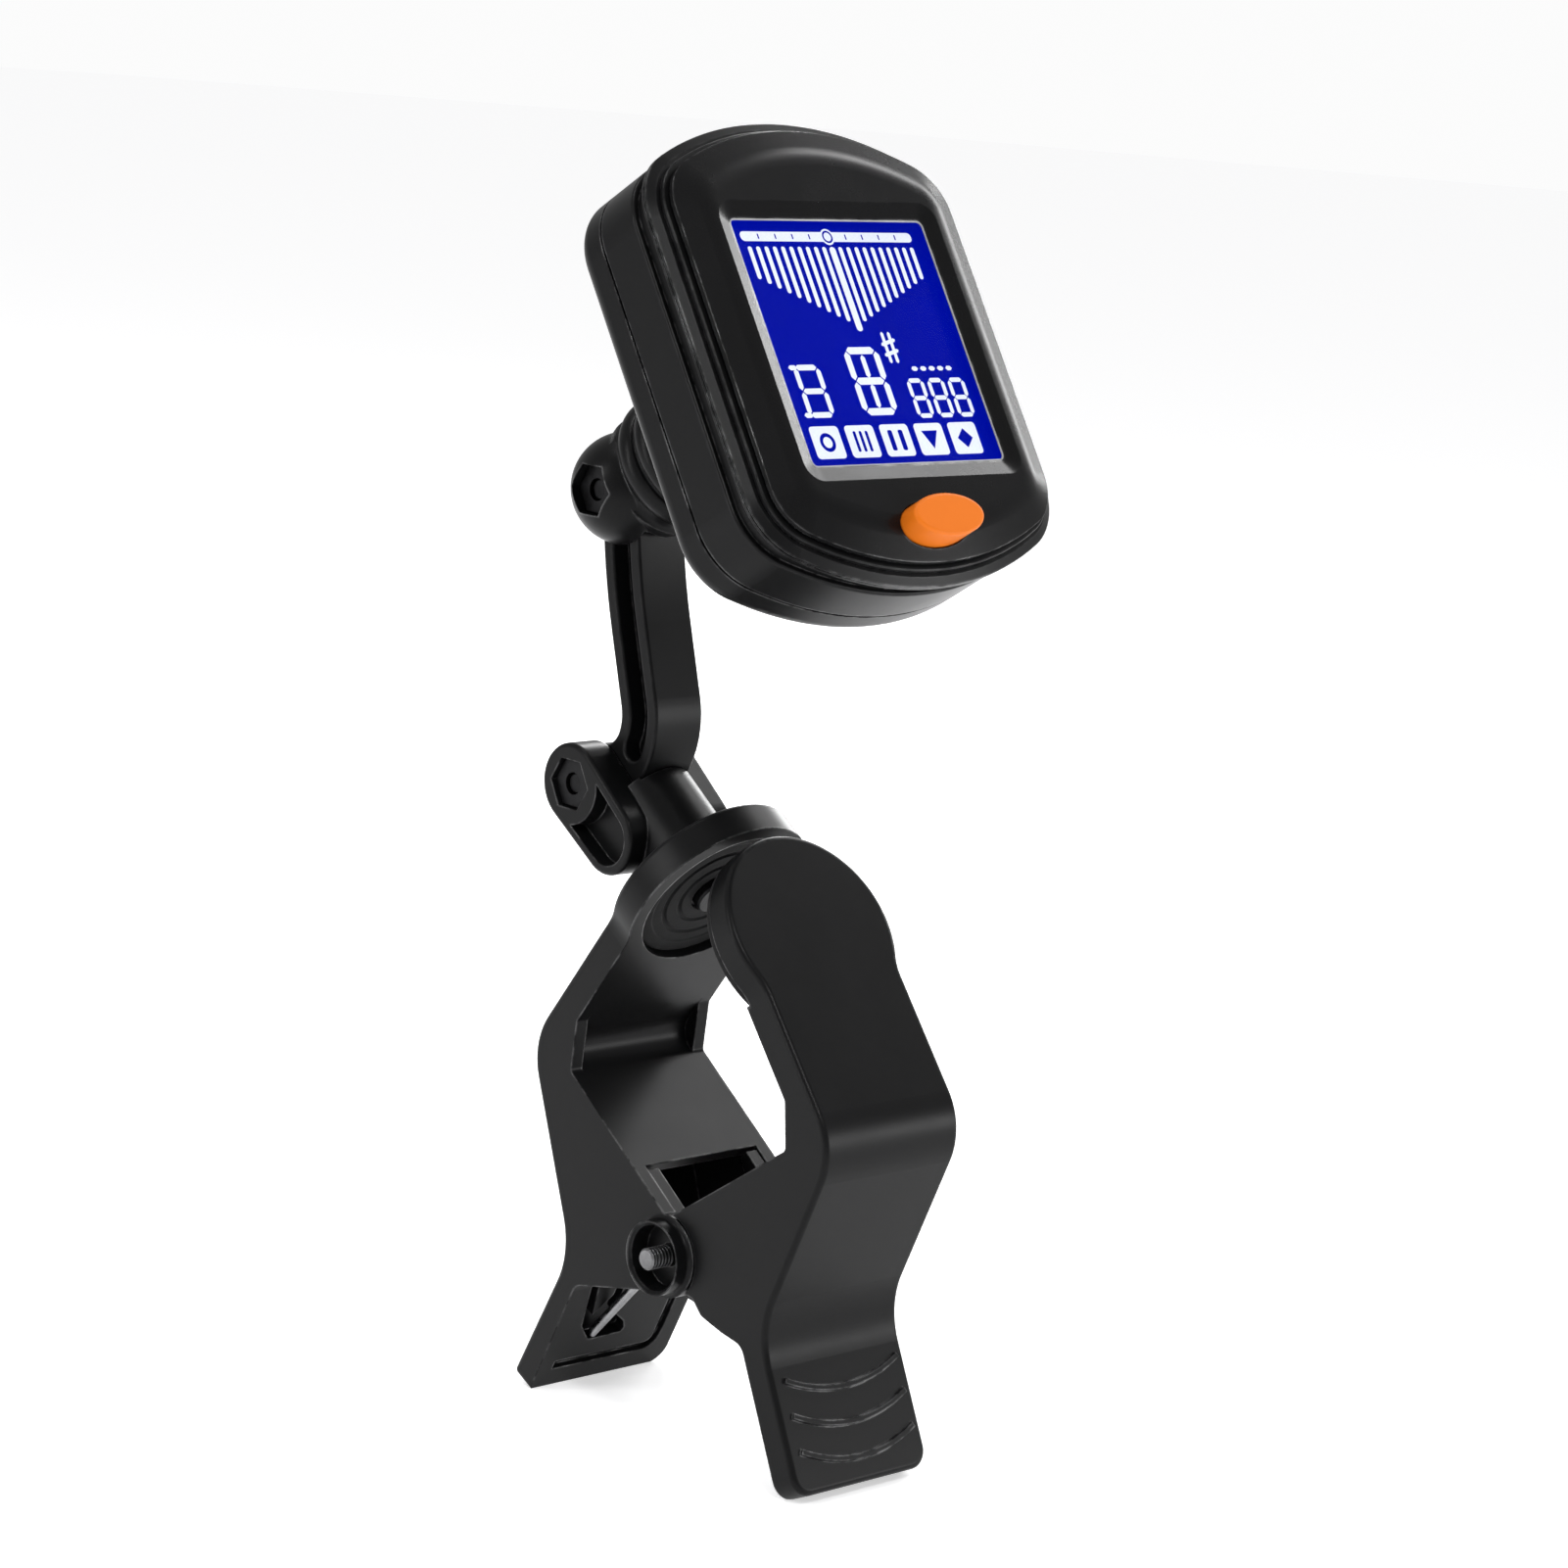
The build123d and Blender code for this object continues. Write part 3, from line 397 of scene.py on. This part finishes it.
def rubber_pads():
    """Front pad with a ringed face, and the ringed insert in the rear disc's recess.

    Profiles are (radius, height) loops: the ringed face outwards, then back along the hidden side.
    """
    origin, axis = disc_frame(-1, FRONT_TILT, FRONT_REACH)
    front = [(0.6, FRONT_FACE)] + grooves((2.6, 4.6, 6.6, 8.6), FRONT_FACE, 0.3, 0.75)
    front += [(10.6, FRONT_FACE), (10.82, -4.15), (10.95, -3.95), (10.95, -3.33), (9.38, -3.33),
              (9.38, -2.32), (0.6, -2.32)]
    bm = bmesh.new()
    turned(bm, origin, axis, front)
    pad = make_object("front_pad_ringed", bm, FINISHES["pad_rubber"], "front_jaw")
    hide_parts("front_pad")

    origin, axis = disc_frame(1, REAR_TILT, REAR_REACH)
    rear = [(2.75, REAR_FACE)] + grooves((4.3, 6.2), REAR_FACE, 0.2, 0.6)
    rear += [(7.6, REAR_FACE), (7.8, -2.95), (9.1, -2.95), (9.35, -2.75), (9.35, -1.77),
             (7.5, -1.77), (7.3, -2.4), (2.75, -2.42)]
    bm = bmesh.new()
    turned(bm, origin, axis, rear)
    insert = make_object("rear_pad_insert", bm, FINISHES["pad_rubber"], "clip")
    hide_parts("rear_pad_ring")


# ---------------------------------------------------------------- display segments
def segment(bm, a, b, width):
    """Six-sided display segment between two points."""
    (x0, u0), (x1, u1) = a, b
    length = math.hypot(x1 - x0, u1 - u0)
    tx, tu = (x1 - x0) / length, (u1 - u0) / length
    h = width / 2
    outline = []
    for along, across in ((0, 0), (h, -h), (length - h, -h), (length, 0), (length - h, h), (h, h)):
        outline.append((x0 + tx * along - tu * across, u0 + tu * along + tx * across))
    prism(bm, outline, SEG_LOW, SEG_HIGH)


def digit(bm, x, u, w, h, width, gap=0.12):
    """Seven segments of an 8 with its lower left corner at (x, u)."""
    strokes = [((0, 0), (1, 0)), ((0, 0.5), (1, 0.5)), ((0, 1), (1, 1)), ((0, 0), (0, 0.5)),
               ((0, 0.5), (0, 1)), ((1, 0), (1, 0.5)), ((1, 0.5), (1, 1))]
    for (ax, au), (bx, bu) in strokes:
        a = Vector((x + ax * w, u + au * h))
        b = Vector((x + bx * w, u + bu * h))
        d = (b - a).normalized() * gap
        segment(bm, tuple(a + d), tuple(b - d), width)


def needle_bars(bm):
    """Fan of bars under the scale strip, the widest and longest in the middle."""
    middle = BARS // 2
    for i in range(BARS):
        x = BARS_LEFT + i * (BARS_RIGHT - BARS_LEFT) / (BARS - 1)
        away = abs(i - middle) / middle
        half, bottom = 0.27, BAR_FOOT + (OUTER_FOOT - BAR_FOOT) * away
        if i == middle:
            half, bottom = 0.42, 1.6
        outline = rounded_box(x - half, bottom, x + half, BAR_TOP, half * 0.95, 4)
        prism(bm, outline, SEG_LOW, SEG_HIGH)


def display_segments():
    """Everything lit on the display: strip, bars, note field, digits and mode boxes."""
    bm = bmesh.new()
    prism(bm, rounded_box(-11.9, 11.85, 12.6, 12.95, 0.5), SEG_LOW, SEG_HIGH)
    prism(bm, circle(*DIAL_RING, 0.92), SEG_LOW, SEG_HIGH + 0.003)
    needle_bars(bm)
    # note field, large character and three small digits
    digit(bm, -10.6, -7.7, 3.1, 5.3, 0.62)
    segment(bm, (-11.5, -2.4), (-10.3, -2.4), 0.55)
    segment(bm, (-11.5, -7.7), (-10.3, -7.7), 0.55)
    digit(bm, -2.7, -7.5, 4.2, 6.9, 0.8)
    segment(bm, (-0.6, -1.1), (-0.6, -3.7), 0.62)
    segment(bm, (-0.6, -4.4), (-0.6, -7.1), 0.62)
    for x in (4.75, 7.75, 10.75):
        digit(bm, x, -8.1, 1.95, 4.0, 0.5, gap=0.08)
    # sharp sign
    for u in (0.35, -0.85):
        segment(bm, (2.75, u - 0.35), (4.95, u + 0.25), 0.42)
    for x in (3.35, 4.3):
        segment(bm, (x, -2.1), (x, 1.5), 0.42)
    # small caption strip, drawn as plain dashes
    for i in range(5):
        x = 5.9 + 1.25 * i
        segment(bm, (x, -2.75), (x + 0.95, -2.75), 0.5)
    for i in range(MODES):
        x = MODE_LEFT + MODE_STEP * i
        prism(bm, rounded_box(x, -12.55, x + 4.05, -8.95, 0.45), SEG_LOW, SEG_HIGH)
    finish = lit_panel("lcd_segment", (0.78, 0.82, 0.92))
    make_object("display_segments", bm, finish, "head")


def window_highlight_line():
    """Fine light grey line round the display, at the foot of the window's bevel: a painted
    highlight for light caught on the bevel's edge.
    """
    bm = bmesh.new()
    w, h = WINDOW_W / 2 - 0.01, WINDOW_H / 2 - 0.01
    outer = rounded_box(-w, -h, w, h, WINDOW_CORNER)
    inner = rounded_box(LINE_W - w, LINE_W - h, w - LINE_W, h - LINE_W, WINDOW_CORNER - LINE_W)
    hollow_prism(bm, outer, inner, -0.01, 0.11)
    # light grey, glossy ring: painted highlight
    finish = moulded_plastic("window_highlight_line", (0.30, 0.30, 0.31), (0.5, 0.5, 0.5), 0.3, gloss=0.5)
    make_object("window_highlight_line", bm, finish, "head")


def display_ink():
    """Dark marks that sit on the white areas: the ring's middle and the mode symbols."""
    bm = bmesh.new()
    low, high = SEG_HIGH + 0.0005, INK_HIGH

    def ring(x, u, outer, inner):
        hollow_prism(bm, circle(x, u, outer), circle(x, u, inner), low, high)

    ring(*DIAL_RING, 0.72, 0.5)
    for side in (-1, 1):
        for i in range(4):
            x = DIAL_RING[0] + side * (2.6 + 2.4 * i)
            prism(bm, rounded_box(x - 0.09, 12.1, x + 0.09, 12.7, 0.05, 2), low, high)
    centres = [(MODE_LEFT + MODE_STEP * i + 2.02, -10.75) for i in range(MODES)]
    ring(*centres[0], 1.05, 0.62)                                   # open circle
    x, u = centres[1]
    for k in (-0.85, 0.0, 0.85):                                    # three strings
        prism(bm, rounded_box(x + k - 0.2, u - 1.15, x + k + 0.2, u + 1.15, 0.15, 3), low, high)
    x, u = centres[2]
    for k in (-0.75, 0.75):                                         # two heavy strings
        prism(bm, rounded_box(x + k - 0.33, u - 1.15, x + k + 0.33, u + 1.15, 0.2, 3), low, high)
    x, u = centres[3]
    prism(bm, [(x - 1.15, u + 0.95), (x, u - 1.1), (x + 1.15, u + 0.95)], low, high)
    x, u = centres[4]
    prism(bm, [(x - 1.1, u), (x, u - 1.1), (x + 1.1, u), (x, u + 1.1)], low, high)
    make_object("display_ink", bm, FINISHES["lcd_glass"], "head")


rubber_pads()
display_segments()
display_ink()
window_highlight_line()


# ---------------------------------------------------------------- stage, light, camera
def floor():
    """Pale paper floor, wide enough to have no visible edge."""
    mesh = bpy.data.meshes.new("floor")
    s = FLOOR_HALF
    mesh.from_pydata([(-s, -s, 0), (s, -s, 0), (s, s, 0), (-s, s, 0)], [], [(0, 1, 2, 3)])
    obj = bpy.data.objects.new("floor", mesh)
    bpy.context.scene.collection.objects.link(obj)
    mat, tree, bsdf = new_material("floor_paper")
    coords = tree.nodes.new("ShaderNodeTexCoord").outputs["Object"]
    fibre = noise(tree, coords, 400.0, 4.0, 0.6)
    tree.links.new(mix_color(tree, fibre, (0.83, 0.83, 0.84), (0.88, 0.88, 0.885)),
                   bsdf.inputs["Base Color"])
    bsdf.inputs["Roughness"].default_value = 0.9
    bsdf.inputs["Specular IOR Level"].default_value = 0.1
    bsdf.inputs["Emission Color"].default_value = (1.0, 1.0, 1.0, 1)
    bsdf.inputs["Emission Strength"].default_value = FLOOR_GLOW
    mesh.materials.append(mat)


def backdrop():
    """Pale dome behind everything, seen by the camera only, so that it lights nothing."""
    mesh = bpy.data.meshes.new("backdrop")
    bm = bmesh.new()
    bmesh.ops.create_uvsphere(bm, u_segments=32, v_segments=16, radius=DOME_RADIUS)
    bm.to_mesh(mesh)
    bm.free()
    obj = bpy.data.objects.new("backdrop", mesh)
    bpy.context.scene.collection.objects.link(obj)
    mat, tree, bsdf = new_material("backdrop_paper")
    glow = add(tree, "ShaderNodeEmission", Color=(1.0, 1.0, 1.0, 1), Strength=DOME_LEVEL)
    output = tree.nodes["Material Output"]
    tree.links.new(glow.outputs["Emission"], output.inputs["Surface"])
    tree.nodes.remove(bsdf)
    mesh.materials.append(mat)
    obj.visible_diffuse = False
    obj.visible_glossy = False
    obj.visible_transmission = False
    obj.visible_shadow = False


LIGHT_TARGET = Vector((0, 0, 0.075))
LIGHTS = (                              # name, place, width, height, brightness
    ("key", (0.55, 0.03, 0.42), 0.10, 0.46, 12.0),
    ("overhead", (-0.05, 0.15, 0.75), 0.26, 0.12, 12.0),
    ("left_strip", (-0.48, 0.14, 0.24), 0.03, 0.42, 26.0),
    ("back_strip", (0.40, 0.36, 0.34), 0.05, 0.32, 20.0),
    ("rim_strip", (0.56, 0.29, 0.19), 0.10, 0.26, 12.0),
    ("edge_light", (-0.26, -0.45, 0.68), 0.12, 0.10, 52.0),
    ("low_fill", (0.40, -0.46, 0.10), 0.26, 0.12, 10.0),
)


def softbox(name, place, width, height, brightness):
    """Rectangular light that faces the object, as bright at any size."""
    light = bpy.data.lights.new(name, "AREA")
    light.shape = "RECTANGLE"
    light.size, light.size_y = width, height
    light.energy = brightness * math.pi * width * height
    obj = bpy.data.objects.new(name, light)
    bpy.context.scene.collection.objects.link(obj)
    obj.visible_camera = False
    obj.location = place
    obj.rotation_euler = (LIGHT_TARGET - Vector(place)).to_track_quat("-Z", "Y").to_euler()


def lights():
    """Studio lights and an even pale surround."""
    for row in LIGHTS:
        softbox(*row)
    world = bpy.data.worlds.new("studio")
    world.use_nodes = True
    background = world.node_tree.nodes["Background"]
    background.inputs["Color"].default_value = (1.0, 1.0, 1.0, 1)
    background.inputs["Strength"].default_value = WORLD_LEVEL
    bpy.context.scene.world = world


def camera():
    """Same viewpoint as the picture of the object: from the left and a little above."""
    right = Vector((0.72634, -0.68285, 0.0784))
    down = Vector((-0.07824, -0.19546, -0.97759))
    forward = Vector((0.68287, 0.70393, -0.1954))
    place = PIVOT + Vector((-314.84, -327.07, 141.44)) * MM
    data = bpy.data.cameras.new("camera")
    data.sensor_width = SENSOR
    data.lens = FOCAL_PIXELS * SENSOR / IMAGE_PIXELS
    data.clip_start = 0.01
    data.clip_end = 50.0
    obj = bpy.data.objects.new("camera", data)
    bpy.context.scene.collection.objects.link(obj)
    turn = Matrix((right, -down, -forward)).transposed()
    obj.matrix_world = Matrix.Translation(place) @ turn.to_4x4()
    bpy.context.scene.camera = obj


floor()
backdrop()
lights()
camera()
bpy.context.scene.view_settings.view_transform = "Standard"
